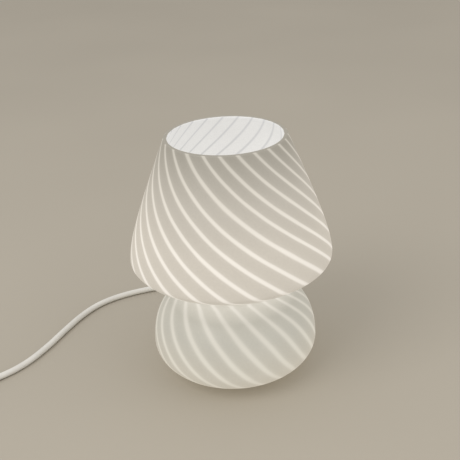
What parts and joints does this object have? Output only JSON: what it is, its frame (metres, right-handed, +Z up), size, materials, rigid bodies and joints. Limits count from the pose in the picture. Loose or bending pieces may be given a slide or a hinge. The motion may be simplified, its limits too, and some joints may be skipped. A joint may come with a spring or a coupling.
{
  "type": "mushroom table lamp",
  "caption": "Mushroom-shaped blown glass table lamp with a swirl of pale lines, open at the top round a bulb, with a corded inline switch and plug.",
  "frame": {"origin": "on the table, under the middle of the lamp's foot", "axes": "+Z up along the glass's axis, +Y towards the rear, where the cord leaves, so -Y faces the viewer"},
  "size_m": [0.5236, 0.2467, 0.2265],
  "materials": {
    "swirl_glass": "satin",
    "silicone": "matte",
    "zinc_steel": "satin",
    "white_lacquer": "satin",
    "holder_white": "gloss",
    "holder_ceramic": "gloss",
    "contact_brass": "satin",
    "cap_aluminium": "satin",
    "insulator_black": "gloss",
    "bulb_white": "satin",
    "globe_opal": "matte",
    "board_white": "matte",
    "cord_white": "satin",
    "core_brown": "satin",
    "core_blue": "satin",
    "switch_white": "satin",
    "plug_white": "satin",
    "pin_nickel": "polished",
    "sleeve_black": "satin"
  },
  "bodies": {
    "lamp": {"glass_body": "swirl_glass", "foot_ring": "silicone", "base_cap": "cord_white", "lower_gasket": "silicone", "lower_washer": "zinc_steel", "lower_nut": "zinc_steel", "stud": "zinc_steel", "upper_gasket": "silicone", "clamp_plate": "zinc_steel", "upper_nut": "zinc_steel", "pedestal_cup": "white_lacquer", "cup_screws": "zinc_steel", "nipple": "zinc_steel", "nipple_nut": "zinc_steel", "holder_cap": "holder_white", "holder_shell": "holder_white", "holder_insert": "holder_ceramic", "terminal_screws": "contact_brass", "centre_contact": "contact_brass", "screw_shell": "contact_brass", "cord_boot": "cord_white", "cord_grip": "cord_white", "cord_inner": "cord_white", "core_live": "core_brown", "core_neutral": "core_blue", "cord_lead": "cord_white", "cord_mid": "cord_white", "cord_coil": "cord_white", "cord_tail": "cord_white", "switch_base": "switch_white", "switch_cover": "switch_white", "switch_screws": "zinc_steel", "switch_contacts": "contact_brass", "switch_collars": "cord_white", "switch_cores": "core_brown", "plug_body": "plug_white", "plug_boot": "plug_white", "plug_sleeves": "sleeve_black", "plug_pins": "pin_nickel"},
    "bulb": {"bulb_tip": "zinc_steel", "bulb_insulator": "insulator_black", "bulb_cap": "cap_aluminium", "bulb_body": "bulb_white", "led_board": "board_white", "bulb_globe": "globe_opal"},
    "rocker": {"switch_rocker": "switch_white"}
  },
  "joints": [
    {"name": "bulb_lift", "type": "slide", "parent": "lamp", "child": "bulb", "axis": [0, 0, 1], "range_m": [0, 0.2]},
    {"name": "rocker_tilt", "type": "hinge", "parent": "lamp", "child": "rocker", "pos_m": [-0.305, -0.052, 0.0126], "axis": [0.342, -0.9397, 0], "range_deg": [0, 14]}
  ]
}
